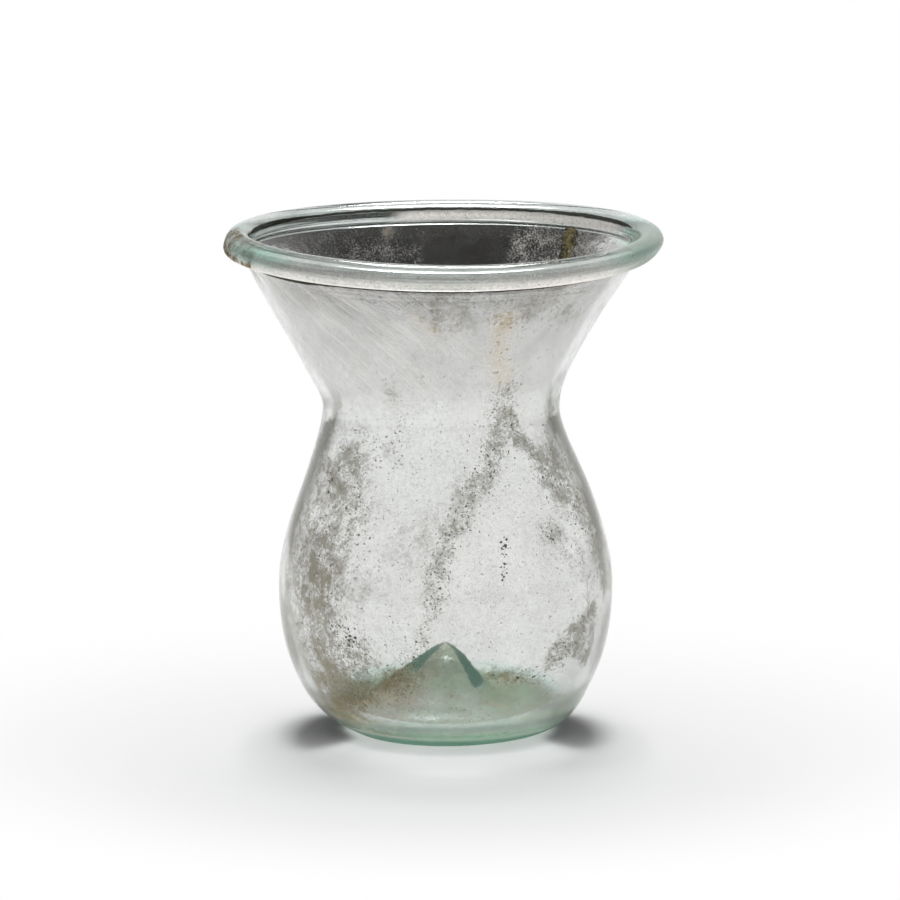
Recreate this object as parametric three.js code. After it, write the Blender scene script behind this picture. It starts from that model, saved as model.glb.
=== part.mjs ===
// A free-blown glass jar with a flaring funnel mouth, a folded rim and a pushed-in base.
// Millimetres, +Z up. The origin lies on the resting plane, under the middle of the rim.
// The wall and the rim fold are revolved sections and the soil crusts are blisters that follow
// the glass. One gentle bend, the same for every piece, then makes them as uneven as hand work.
import * as THREE from "three";
import { mergeVertices } from "three/addons/utils/BufferGeometryUtils.js";

// Outline of the blown wall, from the resting ring up to the crease under the rim
const RING_OUTER_R = 13.8;
const RING_WIDTH = 1.8;
const HEEL_R = 27.3;
const HEEL_Z = 10.0;
const HEEL_LEAN_DEG = 26;
const BELLY_R = 30.75;
const BELLY_Z = 27.5;
const NECK_R = 21.7;
const NECK_Z = 60.3;
const CREASE_R = 36.65;
const CREASE_Z = 88.8;
const FUNNEL_LEAN_DEG = 32.5;

// Reaches of the curves between those places, which set how full each curve is
const RING_REACH = 9.4;
const UNDER_HEEL_REACH = 2.8;
const OVER_HEEL_REACH = 6.6;
const UNDER_BELLY_REACH = 5.8;
const OVER_BELLY_REACH = 12.0;
const UNDER_NECK_REACH = 6.2;
const OVER_NECK_REACH = 2.2;
const FUNNEL_REACH = 26.5;

// Glass thickness at the places of the outline
const RING_WALL = 3.2;
const HEEL_WALL = 1.9;
const BELLY_WALL = 1.2;
const NECK_WALL = 1.7;
const FUNNEL_WALL = 1.5;

// The cone pushed up into the base; its inside runs into the heel at a share of the first curve
const CONE_HEIGHT = 15.0;
const CONE_WALL = 3.3;
const CONE_TIP_REACH = 3.2;
const CONE_FOOT_REACH = 5.0;
const CONE_FOOT_SLOPE_DEG = 38;
const VALLEY_REACH = 7.0;
const VALLEY_SHARE = 0.29;

// The folded rim: a round roll, slotted over a tongue along the top of the wall
const ROLL_R = 2.4;
const ROLL_RISE = 2.0;
const ROLL_INSET = 0.14;
const TONGUE_STEP = 0.25;
const TONGUE_REACH = 0.9;
const SEAT_GAP = 0.3;

// The pontil wad under the tip of the cone
const WAD_R = 3.9;
const WAD_THICK = 1.1;

// Soil that fills the crease under the rim along the front
const CREASE_SOIL_R = 0.42;
const CREASE_SOIL_FROM_DEG = 208;
const CREASE_SOIL_TO_DEG = 322;

// Soil crusts: thickness at the edge and in the middle, and how ragged their outlines are
const CRUST_EDGE = 0.16;
const CRUST_CROWN = 0.5;
const RAGGED_SHARE = 0.2;

// Hand-made unevenness: sideways sway of the axis, the wavy rim and the lopsided cone
const BASE_SWAY = 1.05;
const WAIST_SWAY = 0.2;
const NECK_SWAY = -0.6;
const FUNNEL_SWAY = -1.3;
const CREASE_SWAY = -0.75;
const SWAY_FOOT_Z = 9.0;
const NECK_TO_FUNNEL_SWAY = 7.7;
const RIM_TILT = 0.39;
const RIM_WAVE_COS = 0.34;
const RIM_WAVE_SIN = 0.18;
const RIM_WAVE_DEPTH = 10.5;
const LOPSIDED_SHARE = 0.2;

// Fineness of the curved pieces, and the distance at which two vertices are one
const TURN_STEPS = 56;
const CURVE_STEPS = 7;
const TIP_STEPS = 4;
const ROLL_STEPS = 16;
const PATCH_RINGS = 3;
const PATCH_SPOKES = 28;
const PROFILE_STEPS = 60;
const WELD = 1e-4;

const RADIAN = Math.PI / 180;

const at = (r, z) => new THREE.Vector2(r, z);
const leaning = (degrees) => at(Math.sin(degrees * RADIAN), Math.cos(degrees * RADIAN));
const moved = (point, way, reach) => point.clone().addScaledVector(way, reach);
const smooth = (value, from, to) => THREE.MathUtils.smoothstep(value, from, to);
const mix = THREE.MathUtils.lerp;

// A cubic curve that leaves one point one way and arrives at another in another way
function curve(from, fromWay, fromReach, to, toWay, toReach) {
  return new THREE.CubicBezierCurve(from, moved(from, fromWay, fromReach), moved(to, toWay, -toReach), to);
}

// The outer outline, as four curves that run smoothly into each other
const upright = at(0, 1);
const outward = at(1, 0);
const ringEdge = at(RING_OUTER_R, 0);
const heel = at(HEEL_R, HEEL_Z);
const belly = at(BELLY_R, BELLY_Z);
const neck = at(NECK_R, NECK_Z);
const crease = at(CREASE_R, CREASE_Z);
const heelWay = leaning(HEEL_LEAN_DEG);
const funnelWay = leaning(FUNNEL_LEAN_DEG);
const outerCurves = [
  curve(ringEdge, outward, RING_REACH, heel, heelWay, UNDER_HEEL_REACH),
  curve(heel, heelWay, OVER_HEEL_REACH, belly, upright, UNDER_BELLY_REACH),
  curve(belly, upright, OVER_BELLY_REACH, neck, upright, UNDER_NECK_REACH),
  curve(neck, upright, OVER_NECK_REACH, crease, funnelWay, FUNNEL_REACH),
];
const wallAtPlaces = [RING_WALL, HEEL_WALL, BELLY_WALL, NECK_WALL, FUNNEL_WALL];

// One sample of the wall: outer point, the way it climbs, and the inner point square to it
function wallSample(index, t) {
  const outer = outerCurves[index].getPoint(t);
  const way = outerCurves[index].getTangent(t);
  const wall = mix(wallAtPlaces[index], wallAtPlaces[index + 1], smooth(t, 0, 1));
  const inner = at(outer.x - way.y * wall, outer.y + way.x * wall);
  return { outer, way, inner };
}

const samples = outerCurves.flatMap((_, index) =>
  Array.from({ length: CURVE_STEPS }, (__, step) => wallSample(index, step / CURVE_STEPS)),
);
samples.push(wallSample(outerCurves.length - 1, 1));

// Inside of the base, from the cone's tip down and out into the heel
const valleyStep = Math.round(VALLEY_SHARE * CURVE_STEPS);
const valley = samples[valleyStep];
const coneTip = at(0, CONE_HEIGHT);
const coneInside = curve(coneTip, outward, CONE_TIP_REACH, valley.inner, valley.way, VALLEY_REACH);

// Underside of the cone, from its tip down to the resting ring
const underTip = at(0, CONE_HEIGHT - CONE_WALL);
const ringInner = at(RING_OUTER_R - RING_WIDTH, 0);
const footWay = leaning(90 + CONE_FOOT_SLOPE_DEG);
const coneUnder = curve(underTip, outward, CONE_TIP_REACH, ringInner, footWay, CONE_FOOT_REACH);

// The roll's own frame: up the funnel wall, and square out of its outer face
const acrossWay = at(funnelWay.y, -funnelWay.x);
const rollCentre = moved(moved(crease, funnelWay, ROLL_RISE), acrossWay, -ROLL_INSET);
const inRoll = (out, up) => moved(moved(rollCentre, acrossWay, out), funnelWay, up);
const outerFace = ROLL_INSET;
const innerFace = ROLL_INSET - FUNNEL_WALL;
const tongueMiddle = (outerFace + innerFace) / 2;
const tongueHalf = FUNNEL_WALL / 2 - TONGUE_STEP;

// How far below the roll's centre a circle of a radius lies, at a distance out of the middle
const lowOnCircle = (radius, out) => -Math.sqrt(radius * radius - out * out);

// The round end of the tongue, or of the slot that clears it, from the outer side to the inner
function tongueEnd(half) {
  const up = TONGUE_REACH - tongueHalf;
  return Array.from({ length: TIP_STEPS + 1 }, (_, step) => {
    const angle = (Math.PI * step) / TIP_STEPS;
    return inRoll(tongueMiddle + half * Math.cos(angle), up + half * Math.sin(angle));
  });
}

// Section of the wall: under the cone, up the outside, over the tongue and down the inside
function wallSection() {
  const shoulder = (out) => inRoll(out, lowOnCircle(ROLL_R + SEAT_GAP, out));
  const outerShoulder = shoulder(outerFace);
  const innerShoulder = shoulder(innerFace);
  const outside = samples.map((s) => s.outer).filter((p) => p.y < outerShoulder.y - SEAT_GAP);
  const inside = samples.slice(valleyStep + 1).map((s) => s.inner);
  return [
    ...coneUnder.getPoints(CURVE_STEPS),
    ...outside,
    outerShoulder,
    shoulder(tongueMiddle + tongueHalf),
    ...tongueEnd(tongueHalf),
    shoulder(tongueMiddle - tongueHalf),
    innerShoulder,
    ...inside.filter((p) => p.y < innerShoulder.y - SEAT_GAP).reverse(),
    ...coneInside.getPoints(CURVE_STEPS).reverse(),
  ];
}

// Section of the rim fold: the roll's circle, open at its foot, with a slot that clears the tongue
function foldSection() {
  const half = tongueHalf + SEAT_GAP;
  const angleAt = (out) => Math.atan2(lowOnCircle(ROLL_R, out), out);
  const from = angleAt(tongueMiddle + half);
  const to = angleAt(tongueMiddle - half) + 2 * Math.PI;
  const circle = Array.from({ length: ROLL_STEPS + 1 }, (_, step) => {
    const angle = mix(from, to, step / ROLL_STEPS);
    return inRoll(ROLL_R * Math.cos(angle), ROLL_R * Math.sin(angle));
  });
  return [...circle, ...tongueEnd(half).reverse(), circle[0].clone()];
}

// Sideways sway of the axis at each named height
const funnelSwayZ = NECK_Z + NECK_TO_FUNNEL_SWAY;
const swayPlaces = [
  [0, BASE_SWAY],
  [SWAY_FOOT_Z, WAIST_SWAY],
  [(BELLY_Z + NECK_Z) / 2, WAIST_SWAY],
  [NECK_Z, NECK_SWAY],
  [funnelSwayZ, FUNNEL_SWAY],
  [(funnelSwayZ + CREASE_Z) / 2, FUNNEL_SWAY],
  [CREASE_Z, CREASE_SWAY],
  [rollCentre.y + ROLL_R / 2, 0],
];

function sway(z) {
  const next = swayPlaces.findIndex(([height]) => z < height);
  if (next < 0) return 0;
  if (next === 0) return BASE_SWAY;
  const [lowZ, low] = swayPlaces[next - 1];
  const [highZ, high] = swayPlaces[next];
  return mix(low, high, smooth(z, lowZ, highZ));
}

// The bend that makes a truly turned point uneven
function handmade(point) {
  const turn = Math.atan2(point.y, point.x);
  const radius = Math.hypot(point.x, point.y);
  const lift = smooth(point.z, rollCentre.y - RIM_WAVE_DEPTH, rollCentre.y);
  const wave = RIM_WAVE_COS * Math.cos(2 * turn) + RIM_WAVE_SIN * Math.sin(2 * turn);
  const nearCone = point.z < CONE_HEIGHT + CONE_WALL && radius < valley.inner.x;
  const lopsided = nearCone ? LOPSIDED_SHARE * Math.sin((Math.PI * radius) / valley.inner.x) : 0;
  const stretch = 1 - lopsided * Math.cos(turn);
  point.z += lift * (RIM_TILT * Math.sin(turn) + wave);
  point.x = point.x * stretch + sway(point.z);
  point.y *= stretch;
  return point;
}

// Closes a grid of vertex rings into triangles; each ring has the same count of sides
function ringFaces(first, rings, sides) {
  const index = (ring, side) => first + ring * sides + (side % sides);
  const faces = [];
  for (let ring = 0; ring < rings - 1; ring++) {
    for (let side = 0; side < sides; side++) {
      faces.push(index(ring, side), index(ring + 1, side), index(ring + 1, side + 1));
      faces.push(index(ring, side), index(ring + 1, side + 1), index(ring, side + 1));
    }
  }
  return faces;
}

// A closed solid of rings of vertices between two end points
function ringSolid(start, rings, end) {
  const sides = rings[0].length;
  const points = [...rings.flat(), start, end];
  const faces = ringFaces(0, rings.length, sides);
  const startIndex = points.length - 2;
  const endIndex = points.length - 1;
  const lastRing = (rings.length - 1) * sides;
  for (let side = 0; side < sides; side++) {
    const next = (side + 1) % sides;
    faces.push(startIndex, side, next);
    faces.push(endIndex, lastRing + next, lastRing + side);
  }
  const geometry = new THREE.BufferGeometry();
  geometry.setAttribute("position", new THREE.Float32BufferAttribute(points.flatMap((p) => p.toArray()), 3));
  geometry.setIndex(faces);
  return geometry;
}

// A thin patch: skinPoint gives a point by ring share, angle and side, 0 at the glass and 1 away from it
function patchSolid(skinPoint) {
  const ringOf = (share, side) =>
    Array.from({ length: PATCH_SPOKES }, (_, spoke) => skinPoint(share, (2 * Math.PI * spoke) / PATCH_SPOKES, side));
  const shares = Array.from({ length: PATCH_RINGS }, (_, ring) => (ring + 1) / PATCH_RINGS);
  const rings = [
    ...shares.map((share) => ringOf(share, 0)),
    ...shares.map((share) => ringOf(share, 1)).reverse(),
  ];
  return ringSolid(skinPoint(0, 0, 0), rings, skinPoint(0, 0, 1));
}

// How far a ragged outline reaches at an angle, as a share of its plain reach
function ragged(angle, seed) {
  const slow = Math.sin(3 * angle + seed);
  const fast = Math.sin(7 * angle + 2 * seed);
  return 1 + RAGGED_SHARE * (0.6 * slow + 0.4 * fast);
}

// A foot on a profile line at a radius or a height, and the way the profile runs there
function footOn(profile, axis, value) {
  const found = profile.findIndex((p) => (p[axis] - value) * (profile[0][axis] - value) <= 0 && p !== profile[0]);
  const next = found < 0 ? profile.length - 1 : found;
  const [a, b] = [profile[next - 1], profile[next]];
  const foot = a.clone().lerp(b, (value - a[axis]) / (b[axis] - a[axis]));
  return { foot, way: b.clone().sub(a).normalize() };
}

const spun = (r, turn, z) => new THREE.Vector3(r * Math.cos(turn), r * Math.sin(turn), z);
const crustDepth = (share, side) => SEAT_GAP + side * mix(CRUST_CROWN, CRUST_EDGE, share * share);
const innerWall = samples.slice(valleyStep + 1).map((s) => s.inner);

// A soil crust on the inside of the wall, along a path of turns in degrees and shares of the crease height
function wallCrust({ pathShares, wideShare, seed }) {
  const path = new THREE.SplineCurve(pathShares.map(([degrees, heightShare]) => at(degrees, heightShare)));
  return patchSolid((share, angle, side) => {
    const reach = share * ragged(angle, seed);
    const middle = path.getPoint(THREE.MathUtils.clamp((1 + reach * Math.sin(angle)) / 2, 0, 1));
    const { foot, way } = footOn(innerWall, "y", middle.y * CREASE_Z);
    const depth = crustDepth(share, side);
    const turn = middle.x * RADIAN + (wideShare * BELLY_R * reach * Math.cos(angle)) / foot.x;
    return spun(foot.x - way.y * depth, turn, foot.y + way.x * depth);
  });
}

// A soil crust on the inside of the base, beside the cone
function baseCrust({ turnDegrees, middleShare, wideShare, deepShare, seed }) {
  const profile = coneInside.getPoints(PROFILE_STEPS);
  return patchSolid((share, angle, side) => {
    const reach = share * ragged(angle, seed);
    const radius = valley.inner.x * (middleShare + deepShare * reach * Math.cos(angle));
    const { foot, way } = footOn(profile, "x", radius);
    const depth = crustDepth(share, side);
    const turn = turnDegrees * RADIAN + (wideShare / middleShare) * reach * Math.sin(angle);
    return spun(foot.x - way.y * depth, turn, foot.y + way.x * depth);
  });
}

// The wad that the pontil rod left: a broken disc that follows the underside of the cone's tip
function pontilWad() {
  const profile = coneUnder.getPoints(PROFILE_STEPS);
  return patchSolid((share, angle, side) => {
    const { foot, way } = footOn(profile, "x", share * ragged(angle, 0) * WAD_R);
    const depth = SEAT_GAP + side * WAD_THICK * (1 - (share * share) / 2);
    return spun(Math.max(0, foot.x + way.y * depth), angle, foot.y - way.x * depth);
  });
}

// Dark soil in the crease: a round bead between the wall and the roll, pointed at both ends
function creaseSoil() {
  const reach = CREASE_SOIL_R + SEAT_GAP;
  const out = outerFace + reach;
  const middle = inRoll(out, lowOnCircle(ROLL_R + reach, out));
  const steps = TURN_STEPS / 2;
  const turnAt = (share) => mix(CREASE_SOIL_FROM_DEG, CREASE_SOIL_TO_DEG, share) * RADIAN;
  const rings = Array.from({ length: steps - 1 }, (_, step) => {
    const share = (step + 1) / steps;
    const radius = CREASE_SOIL_R * Math.sqrt(Math.sin(Math.PI * share));
    return Array.from({ length: CURVE_STEPS }, (__, side) => {
      const angle = (2 * Math.PI * side) / CURVE_STEPS;
      return spun(middle.x + radius * Math.cos(angle), turnAt(share), middle.y + radius * Math.sin(angle));
    });
  });
  return ringSolid(spun(middle.x, turnAt(0), middle.y), rings, spun(middle.x, turnAt(1), middle.y));
}

// Revolves a section about +Z
function revolved(section) {
  return new THREE.LatheGeometry(section, TURN_STEPS).rotateX(Math.PI / 2);
}

// Six times the volume that a closed geometry holds, negative when its faces point in
function signedVolume(geometry) {
  const places = geometry.getAttribute("position");
  const order = geometry.getIndex().array;
  const corner = (i) => new THREE.Vector3().fromBufferAttribute(places, order[i]);
  let volume = 0;
  for (let i = 0; i < order.length; i += 3) volume += corner(i).dot(corner(i + 1).cross(corner(i + 2)));
  return volume;
}

// Welds a turned geometry, bends it by hand and points its faces out
function finished(geometry) {
  geometry.deleteAttribute("normal");
  geometry.deleteAttribute("uv");
  const places = geometry.getAttribute("position");
  const point = new THREE.Vector3();
  for (let i = 0; i < places.count; i++) {
    handmade(point.fromBufferAttribute(places, i));
    places.setXYZ(i, point.x, point.y, point.z);
  }
  const welded = mergeVertices(geometry, WELD);
  if (signedVolume(welded) < 0) welded.getIndex().array.reverse();
  welded.computeVertexNormals();
  return welded;
}

const glass = (color, roughness) =>
  new THREE.MeshStandardMaterial({ color, roughness, metalness: 0, transparent: true, opacity: 0.4 });
const soil = (color) => new THREE.MeshStandardMaterial({ color, roughness: 0.95, metalness: 0 });

const jar = new THREE.Group();

function add(name, geometry, material) {
  const mesh = new THREE.Mesh(finished(geometry), material);
  mesh.name = name;
  jar.add(mesh);
}

add("vessel_wall", revolved(wallSection()), glass(0xd4dedb, 0.15));
add("rim_fold", revolved(foldSection()), glass(0x9fc0b2, 0.1));
add("pontil_wad", pontilWad(), glass(0x7fa695, 0.35));
add("crease_soil", creaseSoil(), soil(0x4a4a40));

const greySoil = soil(0x85806c);
const oliveSoil = soil(0x77755c);
const tanSoil = soil(0xb39b72);
const leftPathShares = [[231, 0.16], [224, 0.32], [212, 0.54]];
const bandPathShares = [[257, 0.19], [265, 0.31], [266, 0.43], [281, 0.55], [300, 0.66]];
const branchPathShares = [[311, 0.64], [321, 0.59], [329, 0.53], [343, 0.46]];
const rightPathShares = [[320, 0.155], [332, 0.285]];
const funnelPathShares = [[298, 0.78], [293, 0.9]];
const streakPathShares = [[42, 0.9], [46, 0.975]];
add("belly_soil_left", wallCrust({ pathShares: leftPathShares, wideShare: 0.24, seed: 1 }), greySoil);
add("belly_soil_band", wallCrust({ pathShares: bandPathShares, wideShare: 0.1, seed: 2 }), greySoil);
add("belly_soil_branch", wallCrust({ pathShares: branchPathShares, wideShare: 0.08, seed: 3 }), oliveSoil);
add("belly_soil_right", wallCrust({ pathShares: rightPathShares, wideShare: 0.2, seed: 4 }), oliveSoil);
add("funnel_soil_tan", wallCrust({ pathShares: funnelPathShares, wideShare: 0.1, seed: 5 }), tanSoil);
add("rim_soil_streak", wallCrust({ pathShares: streakPathShares, wideShare: 0.045, seed: 6 }), tanSoil);

const baseShares = { turnDegrees: 205, middleShare: 0.76, wideShare: 0.34, deepShare: 0.16, seed: 7 };
add("base_soil_tan", baseCrust(baseShares), tanSoil);

export default jar;
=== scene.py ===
# A free-blown glass jar with a flaring mouth and a folded rim, soiled by long burial, in a plain studio.
# Sizes are in millimetres and become metres where a mesh is made. +Z is up and -Y faces the camera.
import math

import bmesh
import bpy
import numpy as np
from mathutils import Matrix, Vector


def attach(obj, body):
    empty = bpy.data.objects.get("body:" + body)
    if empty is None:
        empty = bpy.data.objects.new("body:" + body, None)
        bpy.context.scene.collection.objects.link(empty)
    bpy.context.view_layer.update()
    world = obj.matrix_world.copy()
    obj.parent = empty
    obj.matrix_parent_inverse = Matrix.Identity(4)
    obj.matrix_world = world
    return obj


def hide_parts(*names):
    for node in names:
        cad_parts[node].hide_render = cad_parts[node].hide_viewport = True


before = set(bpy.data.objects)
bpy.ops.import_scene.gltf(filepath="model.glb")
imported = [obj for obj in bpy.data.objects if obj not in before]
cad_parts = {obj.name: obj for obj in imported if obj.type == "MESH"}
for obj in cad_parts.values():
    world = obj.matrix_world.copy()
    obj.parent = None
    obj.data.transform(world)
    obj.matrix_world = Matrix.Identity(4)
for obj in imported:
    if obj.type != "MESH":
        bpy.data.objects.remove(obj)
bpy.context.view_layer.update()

MM = 0.001
BODY = "root"

# Camera: place, downward pitch and lens of the photograph's view
CAMERA_PLACE = (1.0, -1000.0, 242.52)
CAMERA_PITCH_DEG = 10.7836
CAMERA_LENS = 221.84
CAMERA_SENSOR = 36.0

# Outline of the blown wall, from the resting ring up to the crease under the rim
RING_OUTER_R = 13.8
RING_WIDTH = 1.8
HEEL_R = 27.3
HEEL_Z = 10.0
HEEL_LEAN_DEG = 26
BELLY_R = 30.75
BELLY_Z = 27.5
NECK_R = 21.7
NECK_Z = 60.3
CREASE_R = 36.65
CREASE_Z = 88.8
FUNNEL_LEAN_DEG = 32.5

# Reaches of the curves between those places
RING_REACH = 9.4
UNDER_HEEL_REACH = 2.8
OVER_HEEL_REACH = 6.6
UNDER_BELLY_REACH = 5.8
OVER_BELLY_REACH = 12.0
UNDER_NECK_REACH = 6.2
OVER_NECK_REACH = 2.2
FUNNEL_REACH = 26.5

# Glass thickness at those places
PLACE_WALLS = (3.2, 1.9, 1.2, 1.7, 1.5)

# The cone pushed up into the base
CONE_HEIGHT = 15.0
CONE_WALL = 3.3
CONE_TIP_REACH = 3.2
CONE_FOOT_REACH = 5.0
CONE_FOOT_SLOPE_DEG = 38
VALLEY_REACH = 7.0
VALLEY_SHARE = 0.29

# The folded rim
ROLL_R = 2.4
ROLL_RISE = 2.0
ROLL_INSET = 0.14
ROLL_AIR_R = 1.25
ROLL_AIR_OUT = 0.25

# The broken wad that the pontil rod left under the cone, and the soil in the crease under the rim
WAD_R = 3.9
WAD_THICK = 1.1
WAD_SEAT = 0.03
CREASE_SOIL_TURNS = (208, 322)
CREASE_SOIL_REACH = 0.95
CREASE_LINE_DROP = 0.75
LIP_LINE_Z = 91.6

# Hand-made unevenness: sway of the axis by height, the wavy rim and the lopsided cone
SWAY_BY_HEIGHT = ((0, 1.05), (9, 0.2), (43.9, 0.2), (60.3, -0.6), (68, -1.3), (78.4, -1.3), (88.8, -0.75),
                  (91.76, 0))
RIM_TILT = 0.39
RIM_WAVE_COS = 0.34
RIM_WAVE_SIN = 0.18
RIM_WAVE_DEPTH = 10.5
LOPSIDED_SHARE = 0.2

# Fineness of the turned glass: its steps, and the fillets where two runs of its section meet
TURN_STEPS = 256
WALL_STEPS = (30, 22, 34, 34)
ROLL_STEPS = 56
AIR_STEPS = 33
UNDER_STEPS = 22
CONE_STEPS = 34
RING_SHARES = (0.35, 0.65)
ROLL_CLEARANCE = 0.02
RING_LEG = 0.25
CREASE_LEG = 0.35
LIP_LEG = 0.8
LIP_LEG_STEPS = 9
WELD = 0.002


def ways(degrees):
    """The direction in a section that leans outward from upright by an angle."""
    lean = math.radians(degrees)
    return np.array((math.sin(lean), math.cos(lean)))


UPRIGHT = ways(0)
OUTWARD = np.array((1.0, 0.0))
HEEL_WAY = ways(HEEL_LEAN_DEG)
FUNNEL_WAY = ways(FUNNEL_LEAN_DEG)
ACROSS_WAY = np.array((FUNNEL_WAY[1], -FUNNEL_WAY[0]))
CREASE = np.array((CREASE_R, CREASE_Z))
ROLL_CENTRE = CREASE + FUNNEL_WAY * ROLL_RISE - ACROSS_WAY * ROLL_INSET
RING_INNER = np.array((RING_OUTER_R - RING_WIDTH, 0.0))


def smoothstep(value, start, end):
    t = np.clip((np.asarray(value, float) - start) / (end - start), 0, 1)
    return t * t * (3 - 2 * t)


def bezier(start, start_way, start_reach, end, end_way, end_reach, t):
    """Points of a cubic curve at the shares t, and its unit directions there."""
    p0, p3 = np.asarray(start, float), np.asarray(end, float)
    p1, p2 = p0 + start_way * start_reach, p3 - end_way * end_reach
    t = np.asarray(t, float)[:, None]
    u = 1 - t
    points = u**3 * p0 + 3 * u * u * t * p1 + 3 * u * t * t * p2 + t**3 * p3
    slopes = 3 * u * u * (p1 - p0) + 6 * u * t * (p2 - p1) + 3 * t * t * (p3 - p2)
    return points, slopes / np.linalg.norm(slopes, axis=1)[:, None]


OUTER_CURVES = (
    ((RING_OUTER_R, 0), OUTWARD, RING_REACH, (HEEL_R, HEEL_Z), HEEL_WAY, UNDER_HEEL_REACH),
    ((HEEL_R, HEEL_Z), HEEL_WAY, OVER_HEEL_REACH, (BELLY_R, BELLY_Z), UPRIGHT, UNDER_BELLY_REACH),
    ((BELLY_R, BELLY_Z), UPRIGHT, OVER_BELLY_REACH, (NECK_R, NECK_Z), UPRIGHT, UNDER_NECK_REACH),
    ((NECK_R, NECK_Z), UPRIGHT, OVER_NECK_REACH, CREASE, FUNNEL_WAY, FUNNEL_REACH),
)


def wall_at(index, t):
    """Thickness of the wall at the shares t of one of its curves."""
    start, end = PLACE_WALLS[index : index + 2]
    return start + (end - start) * smoothstep(t, 0, 1)


def wall_points():
    """The outer and the inner outline of the wall, point by point."""
    outer, inner = [], []
    last = len(OUTER_CURVES) - 1
    for index, (shape, count) in enumerate(zip(OUTER_CURVES, WALL_STEPS)):
        t = np.arange(count + (index == last)) / count
        points, directions = bezier(*shape, t)
        wall = wall_at(index, t)
        normals = np.stack((-directions[:, 1], directions[:, 0]), axis=1)
        outer.append(points)
        inner.append(points + normals * wall[:, None])
    return np.concatenate(outer), np.concatenate(inner)


OUTER_WALL, INNER_WALL = wall_points()


def valley_curve(t):
    """The inside of the base, from the cone's tip down and out to where it meets the wall."""
    (point,), (way,) = bezier(*OUTER_CURVES[0], [VALLEY_SHARE])
    inner = point + np.array((-way[1], way[0])) * wall_at(0, VALLEY_SHARE)
    return bezier((0, CONE_HEIGHT), OUTWARD, CONE_TIP_REACH, inner, way, VALLEY_REACH, t)[0]


def under_curve(t):
    """The underside of the cone, from its tip down to the resting ring."""
    foot_way = ways(90 + CONE_FOOT_SLOPE_DEG)
    tip = (0, CONE_HEIGHT - CONE_WALL)
    return bezier(tip, OUTWARD, CONE_TIP_REACH, RING_INNER, foot_way, CONE_FOOT_REACH, t)[0]


VALLEY_R = valley_curve([1.0])[0][0]


def rounded(before, corner, after, leg, steps=5):
    """A small fillet between two runs of points that meet in a corner."""
    keep_before = [p for p in before if np.linalg.norm(p - corner) > leg]
    keep_after = [p for p in after if np.linalg.norm(p - corner) > leg]
    a = corner + (keep_before[-1] - corner) * leg / np.linalg.norm(keep_before[-1] - corner)
    b = corner + (keep_after[0] - corner) * leg / np.linalg.norm(keep_after[0] - corner)
    t = np.linspace(0, 1, steps)[:, None]
    fillet = (1 - t) ** 2 * a + 2 * (1 - t) * t * corner + t * t * b
    return keep_before + list(fillet) + keep_after


def circle(middle, radius, angles):
    """Points of a circle in the section, which leans with the funnel."""
    return [middle + radius * (math.cos(a) * ACROSS_WAY + math.sin(a) * FUNNEL_WAY) for a in angles]


def roll_angle(out):
    """Angle on the roll of the point of its underside at a distance out from its middle."""
    return math.atan2(-math.sqrt(ROLL_R**2 - out**2), out)


def roll_underside(out):
    """The point of the roll's underside at a distance out from its middle."""
    return ROLL_CENTRE + out * ACROSS_WAY - math.sqrt(ROLL_R**2 - out**2) * FUNNEL_WAY


def clear_of_roll(point):
    return np.linalg.norm(point - ROLL_CENTRE) > ROLL_R + ROLL_CLEARANCE


def glass_section():
    """One closed-up section of the glass, from under the cone's tip round to the tip on the inside."""
    start, end = roll_angle(ROLL_INSET), roll_angle(ROLL_INSET - PLACE_WALLS[-1]) + 2 * math.pi
    roll = circle(ROLL_CENTRE, ROLL_R, np.linspace(start, end, ROLL_STEPS))
    under = list(under_curve(np.linspace(0, 1, UNDER_STEPS)))
    outer = [p for p in OUTER_WALL if clear_of_roll(p)]
    inner = [p for p in INNER_WALL if clear_of_roll(p) and p[0] > VALLEY_R]
    cone = list(valley_curve(np.linspace(1, 0, CONE_STEPS)))
    ring = [RING_INNER + (OUTER_WALL[0] - RING_INNER) * share for share in RING_SHARES]
    points = rounded(under, RING_INNER, ring + outer, RING_LEG)
    points = rounded(points, roll[0], roll[1:], CREASE_LEG)
    return rounded(points, roll[-1], inner[::-1] + cone, LIP_LEG, LIP_LEG_STEPS)


def air_section():
    """Section of the air that the fold traps inside the roll."""
    middle = ROLL_CENTRE + ACROSS_WAY * ROLL_AIR_OUT
    return circle(middle, ROLL_AIR_R, np.linspace(0, math.tau, AIR_STEPS))


def sway(z):
    """Sideways sway of the axis at a height."""
    total = np.full_like(z, SWAY_BY_HEIGHT[0][1], dtype=float)
    for (low_z, low), (high_z, high) in zip(SWAY_BY_HEIGHT, SWAY_BY_HEIGHT[1:]):
        total += (high - low) * smoothstep(z, low_z, high_z)
    return total


def handmade(points):
    """The bend that makes truly turned points uneven, the same for every piece."""
    x, y, z = np.asarray(points, float).T
    turn, radius = np.arctan2(y, x), np.hypot(x, y)
    lift = smoothstep(z, ROLL_CENTRE[1] - RIM_WAVE_DEPTH, ROLL_CENTRE[1])
    wave = RIM_WAVE_COS * np.cos(2 * turn) + RIM_WAVE_SIN * np.sin(2 * turn)
    near_cone = (z < CONE_HEIGHT + CONE_WALL) & (radius < VALLEY_R)
    lopsided = np.where(near_cone, LOPSIDED_SHARE * np.sin(math.pi * radius / VALLEY_R), 0)
    stretch = 1 - lopsided * np.cos(turn)
    z = z + lift * (RIM_TILT * np.sin(turn) + wave)
    return np.stack((x * stretch + sway(z), y * stretch, z), axis=1)


# Helpers for objects and node trees

def new_object(name, data):
    """A new object in the scene."""
    item = bpy.data.objects.new(name, data)
    bpy.context.scene.collection.objects.link(item)
    return item


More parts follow.
